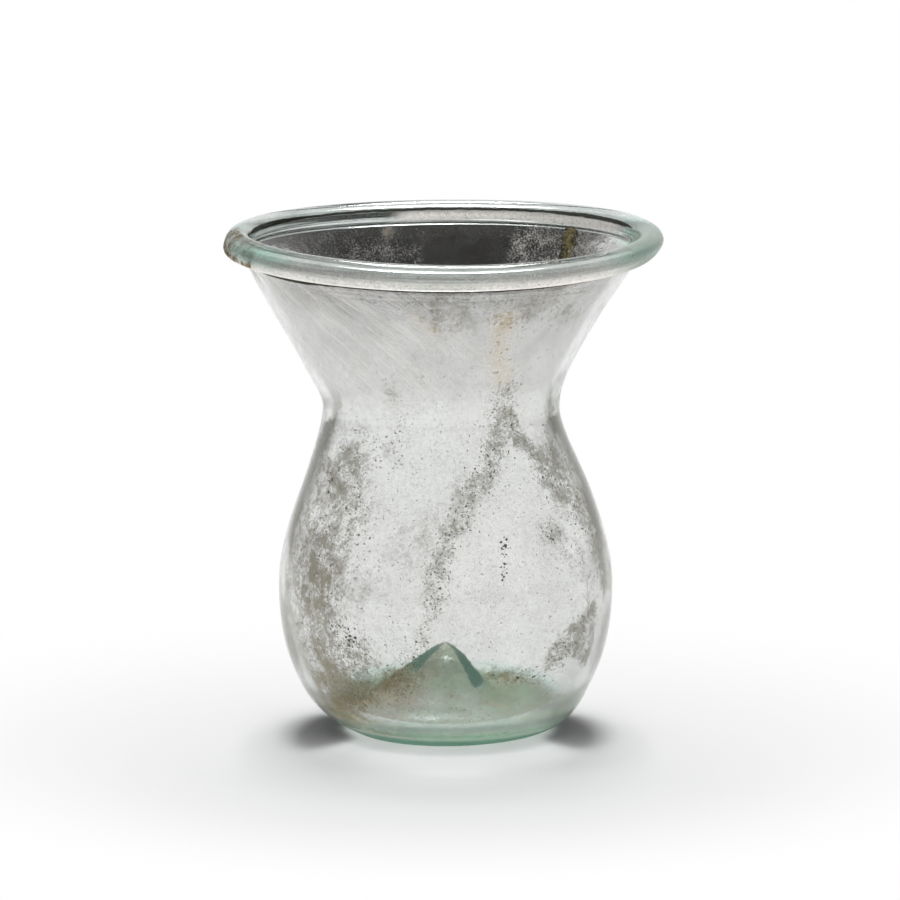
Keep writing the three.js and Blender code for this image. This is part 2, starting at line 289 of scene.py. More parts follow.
def add_node(tree, kind, inputs=None, **settings):
    """Adds a node; an input that is a socket is linked, and any other is set."""
    node = tree.nodes.new(kind)
    for name, value in settings.items():
        setattr(node, name, value)
    for name, value in (inputs or {}).items():
        if isinstance(value, bpy.types.NodeSocket):
            tree.links.new(value, node.inputs[name])
        else:
            node.inputs[name].default_value = value
    return node


def tree_of(*values):
    """The node tree of the first socket among some values."""
    return next(value.id_data for value in values if isinstance(value, bpy.types.NodeSocket))


def calc(operation, first, second=0.0, clamp=False):
    """One math node; gives its output socket."""
    node = add_node(tree_of(first, second), "ShaderNodeMath", {0: first, 1: second}, operation=operation)
    node.use_clamp = clamp
    return node.outputs[0]


def times(first, second, clamp=False):
    return calc("MULTIPLY", first, second, clamp)


def plus(first, second, clamp=False):
    return calc("ADD", first, second, clamp)


def minus(first, second):
    return calc("SUBTRACT", first, second)


def most(first, *others):
    """The largest of some values."""
    for other in others:
        first = calc("MAXIMUM", first, other)
    return first


def blend(first, second, share):
    """Two values mixed with a fixed share of the first."""
    return plus(times(first, share), times(second, 1 - share))


def scaled(vector, factor):
    inputs = {0: vector, "Scale": factor}
    return add_node(tree_of(vector), "ShaderNodeVectorMath", inputs, operation="SCALE").outputs[0]


def band(value, start, end, low=0.0, high=1.0):
    """Value mapped smoothly from start and end to low and high."""
    return add_node(tree_of(value), "ShaderNodeMapRange", {
        "Value": value, "From Min": start, "From Max": end, "To Min": low, "To Max": high,
    }, interpolation_type="SMOOTHSTEP").outputs[0]


def geometry_tree(name, inputs):
    """An empty geometry tree with named inputs, its input sockets and its end node."""
    tree = bpy.data.node_groups.new(name, "GeometryNodeTree")
    tree.interface.new_socket("Geometry", in_out="INPUT", socket_type="NodeSocketGeometry")
    for label, kind in inputs:
        tree.interface.new_socket(label, in_out="INPUT", socket_type="NodeSocket" + kind)
    tree.interface.new_socket("Geometry", in_out="OUTPUT", socket_type="NodeSocketGeometry")
    return tree, tree.nodes.new("NodeGroupInput").outputs, tree.nodes.new("NodeGroupOutput")


def passed(geometry, kind, inputs=None, **settings):
    """The geometry that comes out of one more node."""
    node = add_node(tree_of(geometry), kind, {"Geometry": geometry, **(inputs or {})}, **settings)
    return node.outputs["Geometry"]


def finish_geometry(geometry, material, sink):
    real = passed(geometry, "GeometryNodeRealizeInstances")
    dressed = passed(real, "GeometryNodeSetMaterial", {"Material": material})
    tree_of(dressed).links.new(dressed, sink.inputs["Geometry"])


def made_by_nodes(name, start_mesh, tree, values):
    """A plain mesh object: the result of a geometry tree with the given named inputs."""
    piece = new_object(name, start_mesh)
    modifier = piece.modifiers.new(tree.name, "NODES")
    modifier.node_group = tree
    for item in tree.interface.items_tree:
        if item.in_out == "INPUT" and item.name in values:
            modifier[item.identifier] = values[item.name]
    depsgraph = bpy.context.evaluated_depsgraph_get()
    result = bpy.data.meshes.new_from_object(piece.evaluated_get(depsgraph))
    piece.modifiers.clear()
    piece.data = result
    result.name = name
    return piece


def plain_mesh(name, points_mm, edges=(), faces=()):
    mesh = bpy.data.meshes.new(name)
    mesh.from_pydata([tuple(p) for p in np.asarray(points_mm) * MM], edges, faces)
    mesh.update()
    return mesh


def mesh_points(mesh):
    """The mesh's vertex places, in millimetres."""
    flat = np.empty(len(mesh.vertices) * 3)
    mesh.vertices.foreach_get("co", flat)
    return flat.reshape(-1, 3) / MM


def set_points(mesh, points_mm):
    mesh.vertices.foreach_set("co", (np.asarray(points_mm) * MM).ravel())
    mesh.update()


def set_attribute(mesh, name, values):
    layer = mesh.attributes.new(name, "FLOAT", "POINT")
    layer.data.foreach_set("value", np.asarray(values, dtype=np.float32))


# Geometry trees

def turning_tree():
    """Turns a section, given as a row of points, about +Z."""
    tree, given, sink = geometry_tree("turned section", [
        ("Section Points", "Int"), ("Turn Steps", "Int"), ("Weld", "Float"), ("Material", "Material"),
    ])
    count, turn_steps = given["Section Points"], given["Turn Steps"]
    grid = add_node(tree, "GeometryNodeMeshGrid", {
        "Size X": 1.0, "Size Y": 1.0, "Vertices X": plus(turn_steps, 1.0), "Vertices Y": count,
    })
    skin = passed(grid.outputs["Mesh"], "GeometryNodeStoreNamedAttribute", {
        "Name": "unrolled", "Value": grid.outputs["UV Map"],
    }, data_type="FLOAT2", domain="CORNER")
    index = add_node(tree, "GeometryNodeInputIndex").outputs[0]
    place = add_node(tree, "GeometryNodeInputPosition").outputs[0]
    step = calc("FLOOR", calc("DIVIDE", index, count))
    row = add_node(tree, "GeometryNodeSampleIndex", {
        "Geometry": given["Geometry"], "Value": place, "Index": calc("MODULO", index, count),
    }, data_type="FLOAT_VECTOR", domain="POINT")
    spun = add_node(tree, "ShaderNodeVectorRotate", {
        "Vector": row.outputs[0], "Angle": times(calc("DIVIDE", step, turn_steps), math.tau),
    }, rotation_type="Z_AXIS")
    skin = passed(skin, "GeometryNodeSetPosition", {"Position": spun.outputs[0]})
    skin = passed(skin, "GeometryNodeMergeByDistance", {"Distance": given["Weld"]})
    finish_geometry(passed(skin, "GeometryNodeSetShadeSmooth"), given["Material"], sink)
    return tree


# Soil grains: size of their clumps and the noise there, least and greatest stretch, and bumps per millimetre
CLUMP_SIZE = 1.6
CLUMP_BAND = (0.42, 0.66)
GRAIN_LEAST = (0.6, 0.6, 0.35)
GRAIN_MOST = (1.4, 1.2, 0.8)
GRAIN_BUMPS = 6.0


def grain_tree():
    """Scatters uneven grains over a soiled patch, thickest where the patch says so."""
    tree, given, sink = geometry_tree("soil grains", [
        ("Grains per mm2", "Float"), ("Smallest", "Float"), ("Largest", "Float"), ("Unevenness", "Float"),
        ("Seed", "Int"), ("Material", "Material"),
    ])
    largest, seed = given["Largest"], given["Seed"]

    def random_value(socket, low_input, low, high, kind="FLOAT"):
        inputs = {low_input: low, low_input + 1: high, "Seed": seed}
        return add_node(tree, "FunctionNodeRandomValue", inputs, data_type=kind).outputs[socket]

    cover = add_node(tree, "GeometryNodeInputNamedAttribute", {"Name": "cover"}, data_type="FLOAT")
    clumps = add_node(tree, "ShaderNodeTexNoise", {
        "Scale": 1 / (CLUMP_SIZE * MM), "Detail": 3.0, "Roughness": 0.6,
    })
    share = times(cover.outputs["Attribute"], band(clumps.outputs[0], *CLUMP_BAND))
    points = add_node(tree, "GeometryNodeDistributePointsOnFaces", {
        "Mesh": given["Geometry"], "Density": times(share, times(given["Grains per mm2"], 1 / MM**2)),
        "Seed": seed,
    }, distribute_method="RANDOM")
    grain = add_node(tree, "GeometryNodeMeshIcoSphere", {"Radius": 1.0, "Subdivisions": 1})
    size = random_value(1, 2, given["Smallest"], largest)
    small = times(size, calc("DIVIDE", size, largest))
    stretch = random_value(0, 0, GRAIN_LEAST, GRAIN_MOST, "FLOAT_VECTOR")
    lying = add_node(tree, "FunctionNodeAlignRotationToVector", {
        "Vector": points.outputs["Normal"],
    }, axis="Z")
    spin = add_node(tree, "ShaderNodeCombineXYZ", {"Z": random_value(1, 2, 0.0, math.tau)})
    turned = add_node(tree, "FunctionNodeRotateRotation", {
        "Rotation": lying.outputs[0], "Rotate By": spin.outputs[0],
    }, rotation_space="LOCAL")
    placed = add_node(tree, "GeometryNodeInstanceOnPoints", {
        "Points": points.outputs["Points"], "Instance": grain.outputs["Mesh"],
        "Rotation": turned.outputs[0], "Scale": scaled(stretch, small),
    })
    grains = passed(placed.outputs[0], "GeometryNodeRealizeInstances")
    bumps = add_node(tree, "ShaderNodeTexNoise", {"Scale": GRAIN_BUMPS / MM, "Detail": 0.0})
    centred = add_node(tree, "ShaderNodeVectorMath", {
        0: bumps.outputs["Color"], 1: (0.5, 0.5, 0.5),
    }, operation="SUBTRACT")
    shove = scaled(centred.outputs[0], given["Unevenness"])
    finish_geometry(passed(grains, "GeometryNodeSetPosition", {"Offset": shove}), given["Material"], sink)
    return tree


# Materials

def new_material(name):
    """A new material, its empty tree and the place on the object."""
    material = bpy.data.materials.new(name)
    material.use_nodes = True
    tree = material.node_tree
    tree.nodes.clear()
    return material, tree, add_node(tree, "ShaderNodeTexCoord").outputs["Object"]


def finish_material(surface, volume=None):
    tree = tree_of(surface)
    output = tree.nodes.new("ShaderNodeOutputMaterial")
    tree.links.new(surface, output.inputs["Surface"])
    if volume is not None:
        tree.links.new(volume, output.inputs["Volume"])


def noise(coords, size_mm, detail=2.0, roughness=0.5):
    """Noise whose blotches are about size_mm across, from 0 to 1 with most of it near 0.5."""
    return add_node(tree_of(coords), "ShaderNodeTexNoise", {
        "Vector": coords, "Scale": 1 / (size_mm * MM), "Detail": detail, "Roughness": roughness,
    }).outputs[0]


def own_map(tree):
    """The piece's own map, in metres round the jar and along its section."""
    return add_node(tree, "ShaderNodeUVMap", uv_map="unrolled").outputs[0]


def strokes_of(tree, degrees, along, across, detail, roughness):
    """Noise on the piece's own map, turned and stretched so that it runs in strokes."""
    turned = add_node(tree, "ShaderNodeMapping", {
        "Vector": own_map(tree), "Rotation": (0, 0, math.radians(degrees)),
    })
    drawn = add_node(tree, "ShaderNodeMapping", {
        "Vector": turned.outputs[0], "Scale": (1 / (across * MM), 1 / (along * MM), 1),
    })
    return noise(drawn.outputs[0], 1 / MM, detail, roughness)


def mix_colour(share, first, second):
    inputs = {0: share, 6: first, 7: second}
    return add_node(tree_of(share), "ShaderNodeMix", inputs, data_type="RGBA").outputs[2]


def mix_shader(share, first, second):
    return add_node(tree_of(first), "ShaderNodeMixShader", {0: share, 1: first, 2: second}).outputs[0]


def grey(value):
    """A colour whose three parts are one value."""
    return add_node(tree_of(value), "ShaderNodeCombineColor", {0: value, 1: value, 2: value}).outputs[0]


WHITE = (1, 1, 1, 1)
GLASS_TINT = (0.12, 0.74, 0.58, 1)
GLASS_DENSITY = 11.0
GLASS_IOR = 1.5
MILK_COLOUR = (0.84, 0.80, 0.77, 1)
HAZE_COLOUR = (0.24, 0.235, 0.225, 1)
WASH_COLOUR = (0.185, 0.16, 0.082, 1)
SPECK_COLOUR = (0.075, 0.065, 0.03, 1)
DUST_COLOUR = (0.34, 0.33, 0.28, 1)
TAN_COLOUR = (0.52, 0.40, 0.20, 1)
BASE_COLOUR = (0.31, 0.47, 0.30, 1)
BASE_SOIL_COLOUR = (0.30, 0.28, 0.15, 1)
# The silvery colour is also that of a painted highlight on the base.
SILVER_AND_GLINT_COLOUR = (0.80, 0.78, 0.73, 1)
# The near-black line colour is partly dirt and partly painted shade in the crease under the roll; it also
# draws the line inside the lip.
CREASE_COLOUR = (0.02, 0.02, 0.01, 1)
THICK_COLOUR = (0.34, 0.66, 0.56, 1)
DEEP_COLOUR = (0.0, 0.15, 0.08, 1)

# Noises of the glass and its film: size of the blotches, detail and roughness
BROAD = (9.0, 4.0, 0.6)
CLOUDY = (2.6, 4.0, 0.65)
FINE = (0.8, 3.0, 0.65)
GRIT = (0.42, 1.0, 0.5)
MOTTLE = (0.7, 6.0, 0.78)
DUST = (0.3, 4.0, 0.8)
# Noises in strokes: way in degrees, length, width, detail and roughness
STROKES = (42, 22.0, 1.9, 4.0, 0.6)
RILLS = (4, 7.0, 0.45, 3.0, 0.6)

# Bands of the glass, as the two limits of what drives each and its values there
ROUGH_BY_BASE = (0.0, 1.0, 0.025, 0.22)
LIGHT_BY_FACING = (0.72, 0.98, 1.0, 0.05)
LIGHT_BY_THICK = (0.0, 1.0, 1.0, 0.04)
WAVES_BY_BASE = (0.0, 1.0, 0.35, 3.0)
HAZE_BY_BROAD = (0.3, 0.7, 0.7, 1.2)
MILK_BY_BROAD = (0.3, 0.7, 0.75, 1.25)
MILK_BY_FINE = (0.3, 0.7, 0.85, 1.12)
STROKE_BAND = (0.42, 0.62)
COVER_BY_FACING = (0.45, 1.0, 1.0, 2.5)
SILVER_BAND = (0.49, 0.58)
BLOTCH_BY_BROAD = (0.38, 0.62, 0.72, 1.15)
BLOTCH_BY_CLOUDY = (0.38, 0.62, 0.78, 1.16)
WASH_BAND = (0.12, 1.75, 0.0, 0.76)
SPECK_BAND = (0.0, 0.03, 0.0, 0.85)
FILM_BAND = (0.03, 0.08)
DUST_BAND = (0.5, 0.66, 0.0, 0.22)
DUST_BY_HAZE = (0.1, 0.6, 1.0, 0.9)
TAN_BY_FINE = (0.3, 0.6, 0.4, 1.0)
BASE_SOIL_BAND = (0.4, 0.9)
DUST_TONE_BAND = (0.0, 0.2)
WASH_TONE_BAND = (0.0, 0.4)

# Weights of the glass's parts
WAVE_DEPTH, STROKE_MILK, LINE_COVER, LAMP_THROUGH_FILM = 0.06, 0.26, 0.92, 0.75
SILVER_DUST, DUSTING_DUST = 0.72, 0.85
WASH_SOIL, LESS_WASH_ON_BASE = 1.5, 0.6
WASH_PARTS = (0.8, 1.8, 2.4, 0.45)
SPECK_LEVEL, SPECK_PITS = 0.715, 0.12
BASE_CLOUDY = 0.6

# The dark lines at the rim, in millimetres: waver, soft edges, and the width below which they fade
LINE_WAVER, CREASE_SOFT, LIP_SOFT, LINE_FADE = 0.5, 0.12, 0.15, 0.05
RIDGE_DROPS, RIDGE_SOFT = (1.5, 2.6), 0.3

# Values that each vertex of the glass carries
GLASS_VALUES = ("milk", "haze", "strokes", "soil", "pits", "tan", "silver_and_glint", "base", "thick", "green", "deep",
                "crease", "lip", "ridged")


def clear_glass(tree, here, haze, bump):
    """Polished glass that lets the lamp's light through, less of it where the light only grazes it."""
    colour = mix_colour(haze, WHITE, HAZE_COLOUR)
    clear = add_node(tree, "ShaderNodeBsdfPrincipled", {
        "Base Color": mix_colour(here["green"], colour, THICK_COLOUR),
        "Roughness": band(here["base"], *ROUGH_BY_BASE), "IOR": GLASS_IOR, "Transmission Weight": 1.0,
        "Normal": bump,
    })
    facing = add_node(tree, "ShaderNodeLayerWeight", {"Blend": 0.5}).outputs["Facing"]
    share = times(band(facing, *LIGHT_BY_FACING), band(here["thick"], *LIGHT_BY_THICK))
    thin = add_node(tree, "ShaderNodeBsdfTransparent", {"Color": grey(share)})
    path = add_node(tree, "ShaderNodeLightPath").outputs
    lamp_light = most(path["Is Shadow Ray"], path["Is Diffuse Ray"])
    return mix_shader(lamp_light, clear.outputs[0], thin.outputs[0]), facing, lamp_light


def rim_lines(tree, here, crease_length, lip_length, wobble):
    """The thin dark lines under the rim, partly dirt and partly painted shade, and inside its lip, and the
    fine ridges below it.
    """
    length = add_node(tree, "ShaderNodeSeparateXYZ", {0: own_map(tree)}).outputs["Y"]
    length = plus(length, times(minus(wobble, 0.5), LINE_WAVER * MM))

    def fading(middle, soft, half=0.0):
        away = minus(calc("ABSOLUTE", minus(length, middle)), half)
        return band(away, 0.0, soft * MM, 1.0, 0.0)

    lines = []
    for name, middle, soft in (("crease", crease_length, CREASE_SOFT), ("lip", lip_length, LIP_SOFT)):
        line = fading(middle, soft, times(here[name], MM))
        lines.append(times(line, band(here[name], 0.0, LINE_FADE)))
    high, low = (fading(crease_length - drop * MM, RIDGE_SOFT) for drop in RIDGE_DROPS)
    return most(*lines), times(plus(high, low), band(here["ridged"], 0.0, 1.0))


def blown_glass(crease_length, lip_length):
    """Clear glass, green where it is thick, under a milky weathering film with washes and specks of soil."""
    material, tree, coords = new_material("blown glass")
    here = {name: add_node(tree, "ShaderNodeAttribute", attribute_name=name).outputs["Fac"]
            for name in GLASS_VALUES}
    broad, cloudy, fine = noise(coords, *BROAD), noise(coords, *CLOUDY), noise(coords, *FINE)
    grit, mottle, dust = noise(coords, *GRIT), noise(coords, *MOTTLE), noise(coords, *DUST)
    strokes, rills = strokes_of(tree, *STROKES), strokes_of(tree, *RILLS)

    line, ridges = rim_lines(tree, here, crease_length, lip_length, cloudy)
    wavy = plus(times(here["strokes"], strokes), times(cloudy, band(here["base"], *WAVES_BY_BASE)))
    bump = add_node(tree, "ShaderNodeBump", {
        "Strength": 1.0, "Distance": WAVE_DEPTH * MM, "Height": plus(wavy, ridges),
    }).outputs[0]
    haze = times(here["haze"], band(broad, *HAZE_BY_BROAD), clamp=True)
    clear, facing, lamp_light = clear_glass(tree, here, haze, bump)

    edge = band(facing, *COVER_BY_FACING)
    milk = times(times(here["milk"], band(broad, *MILK_BY_BROAD)), band(fine, *MILK_BY_FINE))
    stroke = times(here["strokes"], band(strokes, *STROKE_BAND))
    milk = times(plus(milk, times(stroke, STROKE_MILK), clamp=True), edge, clamp=True)
    silver_grain = blend(dust, cloudy, SILVER_DUST)
    # The silvery film also carries a painted highlight on the base.
    silver_and_glint = times(here["silver_and_glint"], band(silver_grain, *SILVER_BAND), clamp=True)

    blotch = times(band(broad, *BLOTCH_BY_BROAD), band(cloudy, *BLOTCH_BY_CLOUDY))
    ragged = times(times(here["soil"], WASH_SOIL), blotch)
    for part, weight in zip((cloudy, dust, mottle, rills), WASH_PARTS):
        ragged = plus(ragged, times(minus(part, 0.5), weight))
    wash = times(band(ragged, *WASH_BAND), edge, clamp=True)
    wash = times(wash, minus(1.0, times(here["base"], LESS_WASH_ON_BASE)))

    filmed = band(here["milk"], *FILM_BAND)
    speck_level = minus(SPECK_LEVEL, times(here["pits"], SPECK_PITS))
    speck = times(band(minus(grit, speck_level), *SPECK_BAND), filmed)
    dusting = times(band(blend(dust, cloudy, DUSTING_DUST), *DUST_BAND), filmed)
    dusting = times(dusting, band(here["haze"], *DUST_BY_HAZE))
    tan = times(here["tan"], band(fine, *TAN_BY_FINE))
    grime = plus(times(cloudy, BASE_CLOUDY), here["soil"])
    base_tone = mix_colour(band(grime, *BASE_SOIL_BAND), BASE_COLOUR, BASE_SOIL_COLOUR)

    colour = mix_colour(here["base"], MILK_COLOUR, base_tone)
    for share, tone in (
        (band(dusting, *DUST_TONE_BAND), DUST_COLOUR), (band(wash, *WASH_TONE_BAND), WASH_COLOUR),
        (tan, TAN_COLOUR), (silver_and_glint, SILVER_AND_GLINT_COLOUR), (speck, SPECK_COLOUR), (here["deep"], DEEP_COLOUR),
        (line, CREASE_COLOUR),
    ):
        colour = mix_colour(share, colour, tone)
    through = add_node(tree, "ShaderNodeBsdfTranslucent", {"Color": colour}).outputs[0]
    back = add_node(tree, "ShaderNodeBsdfDiffuse", {"Color": colour}).outputs[0]
    cover = most(plus(milk, dusting, clamp=True), plus(wash, tan, clamp=True), speck, silver_and_glint,
                 times(line, LINE_COVER), here["deep"])
    cover = times(cover, minus(1.0, times(lamp_light, LAMP_THROUGH_FILM)))
    tint = add_node(tree, "ShaderNodeVolumeAbsorption", {"Color": GLASS_TINT, "Density": GLASS_DENSITY})
    finish_material(mix_shader(cover, clear, mix_shader(0.5, through, back)), tint.outputs[0])
    return material


# Matt soil: size and height of its grains, and the blotches in which its colour varies
SOIL_GRAIN, SOIL_RELIEF = 0.08, 0.05
SOIL_BLOTCHES, SOIL_BLOTCH_BAND = (0.5, 2.0, 0.7), (0.35, 0.65)


def soil_material(name, dark, pale):
    """Matt soil whose grains vary between two colours."""
    material, tree, coords = new_material(name)
    bump = add_node(tree, "ShaderNodeBump", {
        "Strength": 0.5, "Distance": SOIL_RELIEF * MM, "Height": noise(coords, SOIL_GRAIN),
    })
    body = add_node(tree, "ShaderNodeBsdfPrincipled", {
        "Base Color": mix_colour(band(noise(coords, *SOIL_BLOTCHES), *SOIL_BLOTCH_BAND), dark, pale),
        "Roughness": 0.9, "Specular IOR Level": 0.2, "Normal": bump.outputs[0],
    })
    finish_material(body.outputs[0])
    return material


# Where the film and the soil lie, by turn in degrees and height in millimetres on the unbent glass

FAR = 1e9
ZONE_EDGE = 0.1


def turned_from(turn, start):
    """Turns from start, in degrees from -180 to 180."""
    return (turn - start + 180) % 360 - 180


def near_path(turn, z, radius, path, reach, edge):
    """1 near a path of turns and heights, falling from a distance of edge times reach to 0 at reach."""
    best = np.full(len(z), FAR)
    for (turn_a, z_a), (turn_b, z_b) in zip(path, path[1:]):
        ax = turned_from(turn, turn_a) * np.pi / 180 * radius
        az = z - z_a
        dx = (turn_b - turn_a) * np.pi / 180 * radius
        dz = z_b - z_a
        t = np.clip((ax * dx + az * dz) / np.maximum(dx * dx + dz * dz, 1 / FAR), 0, 1)
        best = np.minimum(best, np.hypot(ax - t * dx, az - t * dz))
    return 1 - smoothstep(best, reach * edge, reach)


def near_turn(turn, middle, half, edge):
    """1 up to half degrees away from a middle turn, falling to 0 over the next edge degrees."""
    return 1 - smoothstep(np.abs(turned_from(turn, middle)), half, half + edge)


# Soiled zones on the inside: path, reach across and strength
SOIL_ZONES = (
    (((222, 13), (219, 26), (214, 40), (218, 50)), 13.0, 0.85),
    (((219, 13), (222, 22), (219, 30), (222, 38)), 12.0, 0.84),
    (((219, 12), (225, 14), (233, 17)), 12.0, 1.0),
    (((206, 56), (226, 57), (243, 55)), 8.0, 0.5),
    (((249, 68), (249, 54)), 3.0, 0.5),
    (((303, 67), (300, 57), (291, 52), (281, 48)), 5.0, 0.66),
    (((281, 48), (272, 41), (268, 37), (266, 30)), 4.2, 0.72),
    (((266, 30), (264, 25), (257, 19), (250, 16)), 3.4, 0.5),
    (((305, 62), (311, 57), (318, 54), (327, 50)), 3.2, 0.85),
    (((327, 50), (338, 44), (346, 36), (349, 30)), 9.5, 1.0),
    (((314, 41), (324, 36), (330, 29)), 6.0, 0.56),
    (((313, 18), (321, 20), (328, 23), (331, 25)), 4.4, 1.0),
    (((236, 14), (250, 15), (257, 17)), 5.5, 0.7),
    (((288, 16), (306, 15)), 3.4, 0.65),
    # These two zones darken the film along the right and left edges of the shoulders, as seen from the
    # front.
    (((350, 61), (355, 52), (362, 42)), 10.0, 0.8),
    (((178, 58), (186, 48), (190, 36)), 11.0, 0.75),
    (((80, 40), (120, 22), (150, 14)), 9.0, 0.5),
    (((20, 52), (45, 30)), 7.0, 0.5),
    (((168, 86), (196, 87)), 4.5, 0.75),
    (((300, 86), (322, 85)), 5.0, 0.5),
    (((340, 42), (348, 33), (346, 24)), 6.5, 0.6),
    (((268, 84), (325, 83)), 9.0, 0.46),
    (((220, 52), (212, 44)), 9.0, 0.85),
    # This zone paints shade as a dark wash along the right edge of the neck.
    (((341, 66), (343, 58), (347, 49)), 4.0, 0.95),
)
# Soiled areas with a hard outline: corners as turn and height, width of the soft edge, and strength
SOIL_AREAS = (
    (((331.6, 27.5), (336.1, 19), (333.9, 14.5), (325, 16.5), (316.3, 18), (308, 14.5), (309.1, 20),
      (316.4, 23.3), (326, 25.6)), 0.8, 0.85),
    (((186, 52), (186, 12), (220, 9), (245, 12), (244, 18), (239, 22), (233.5, 25), (234.5, 30),
      (231.5, 35), (238, 39), (241, 45), (231, 48), (226, 51), (205, 56)), 7.5, 0.62),
)
TAN_ZONES = (
    (((293, 81), (294, 74), (299, 70)), 4.6, 0.6),
    (((262, 82), (270, 79)), 2.0, 0.45),
    (((200, 6.5), (225, 7)), 4.5, 0.3),
    (((106, 88), (108, 87)), 1.6, 0.6),
    (((290, 15), (300, 15)), 2.0, 0.3),
    (((212, 13), (216, 22), (218, 32), (226, 42)), 14.0, 0.15),
)
STREAK_ZONES = (
    (((46, 90), (46, 88), (42, 85), (41, 80)), 1.5, 1.0),
)
STREAK_EDGE_ZONES = (
    (((48.5, 90), (48.5, 88), (44.5, 85), (43, 80)), 0.7, 1.0),
    (((43.8, 88), (39.8, 85), (38.6, 80)), 0.6, 0.8),
)
SILVER_ZONES = (
    (((98, 83), (119, 84.5)), 2.6, 0.5),
    (((68, 87), (104, 87)), 5.0, 0.16),
)
# Silvery weathering inside the mouth: middle turn, half width, soft edge and strength
SILVER_FANS = (
    (37.0, 28.0, 2.0, 0.75),
    (140.0, 34.0, 12.0, 0.3),
)
# Stains on the inside of the base: place across, reach and strength
BASE_STAINS = (
    (-19.0, -7.0, 5.0, 0.75),
    (-14.0, -2.5, 5.0, 0.85),
    (-9.5, -5.0, 3.5, 0.6),
    (11.0, -7.0, 2.6, 0.5),
)
# Thin dark runs of soil, as paths of turn and height
DARK_RUNS = (
    (((292.4, 40.0), (292.0, 37.5), (291.0, 34.0)), 0.8, 1.0),
    (((209, 50), (214, 47), (223, 45)), 0.9, 0.35),
    (((247, 47), (249, 50)), 0.8, 0.5),
    (((312, 41), (316, 38)), 0.8, 0.4),
    (((288, 15.5), (304, 15.0)), 1.6, 0.3),
    (((234, 20), (236, 24), (238, 21)), 1.8, 0.4),
)


def zone_sum(turn, z, radius, zones):
    """The strongest zone at each place."""
    total = np.zeros(len(z))
    for path, reach, strength in zones:
        total = np.maximum(total, strength * near_path(turn, z, radius, path, reach, ZONE_EDGE))
    return total


def area_sum(turn, z, areas):
    """The strongest area at each place: all of its strength inside, falling to 0 over its soft edge."""
    total = np.zeros(len(z))
    x_scale = np.pi / 180 * BELLY_R
    for corners, soft, strength in areas:
        start = corners[0][0]
        px = turned_from(turn, start) * x_scale
        cx = [turned_from(corner_turn, start) * x_scale for corner_turn, _ in corners]
        cz = [height for _, height in corners]
        best = np.full(len(z), FAR)
        inside = np.zeros(len(z), dtype=bool)
        for i in range(len(corners)):
            j = (i + 1) % len(corners)
            dx, dz = cx[j] - cx[i], cz[j] - cz[i]
            t = np.clip(((px - cx[i]) * dx + (z - cz[i]) * dz) / (dx * dx + dz * dz), 0, 1)
            best = np.minimum(best, np.hypot(px - cx[i] - t * dx, z - cz[i] - t * dz))
            crosses = (cz[i] > z) != (cz[j] > z)
            slope = dx / dz if dz else 0.0
            inside ^= crosses & (px < cx[i] + slope * (z - cz[i]))
        total = np.maximum(total, strength * smoothstep(np.where(inside, best, -best), -soft, soft))
    return total


# Spots round the jar: middle turn, half width and soft edge in degrees, and for some the heights between
# which the spot comes and those between which it goes
SPOTS = {
    "clean right": (335, 20, 6, (7.2, 8.2)),
    "clean left": (192, 26, 8, (9.6, 10.8)),
    "broken tip": (262, 34, 12, (12.6, 13.6)),
    "green right": (352, 14, 24),
    "green left": (196, 12, 22),
    "deep right": (349, 12, 22),
    "ridges": (268, 40, 20),
    # The spot at the back paints a reflection as white film inside the far rim.
    "painted reflection back": (64, 34, 10, (89.2, 89.8), (90.9, 91.3)),
    "grimy left": (200, 25, 40),
    # The white spot at the front paints a highlight as white film under the front of the roll.
    "painted highlight front": (270, 70, 20, (87.5, 89.0), (89.6, 90.6)),
    "pale front": (270, 58, 24, (87.5, 89.0), (91.0, 92.2)),
}
# Widths of the dark lines at the rim, by spots with a half width in millimetres each
LIP_SPOTS = ((95, 72, 12, 0.2), (35, 10, 14, 0.15), (160, 10, 14, 0.2))
# The crease line is partly dirt and partly painted shade under the front of the roll.
CREASE_SPOTS = ((268, 50, 14, 0.24), (214, 12, 16, 0.5))

# Paths of turn and height with their reach and the share of it where the fall starts
STROKED_LEFT = (((225, 60), (240, 90)), 34.0, 0.3)
CLEAR_WINDOW = (((262, 17), (292, 16)), 7.0, 0.3)
# A path of painted shade, in the dark green of thick glass, along the right edge of the neck
SHADED_NECK_EDGE = (((341, 64), (343, 58), (347, 50)), 4.4, 0.0)
SMOOTH_LEFT = (((205, 50), (205, 25)), 14.0, 0.5)

# Heights or radii between which a part of the jar comes or goes
FUNNEL_COMES, FUNNEL_GOES = (62, 70), (87, 89)
MOUTH_COMES, MOUTH_GOES = (76, 80), (88.5, 89.5)
ROLL_COMES, BASE_GOES = (87.5, 89.0), (4.0, 5.4)
HAZE_COMES, MORE_HAZE_COMES = (60, 70), (76, 85)
THICK_GOES, THICK_FROM_R, THICK_SIDES = (8, 18), (17, 22), (0.8, 0.96)
GREEN_GOES, DEEP_GOES = (3.0, 5.0), (2.0, 3.6)
CREASE_HEIGHTS, LIP_HEIGHT = (86, 90.5), 88
CONE_R, TIP_R, BASE_R_SHARE = 9.5, 5, 0.9
# Middle, squash and fall of a painted highlight on the front of the base
PAINTED_GLINT_X, PAINTED_GLINT_Y, PAINTED_GLINT_SQUASH, PAINTED_GLINT_GOES = -3.1, -14.0, 1.4, (2.0, 4.5)

# Strengths of the film and of the glass's own colour; those with LESS are taken off
MILK, MILK_ON_ROLL, MILK_ON_BASE = 0.2, 0.02, 0.74
LESS_MILK_IN_FUNNEL, LESS_MILK_BEHIND, LESS_MILK_IN_WINDOW, LESS_MILK_WHERE_CLEAN = 0.1, 0.07, 0.75, 0.96
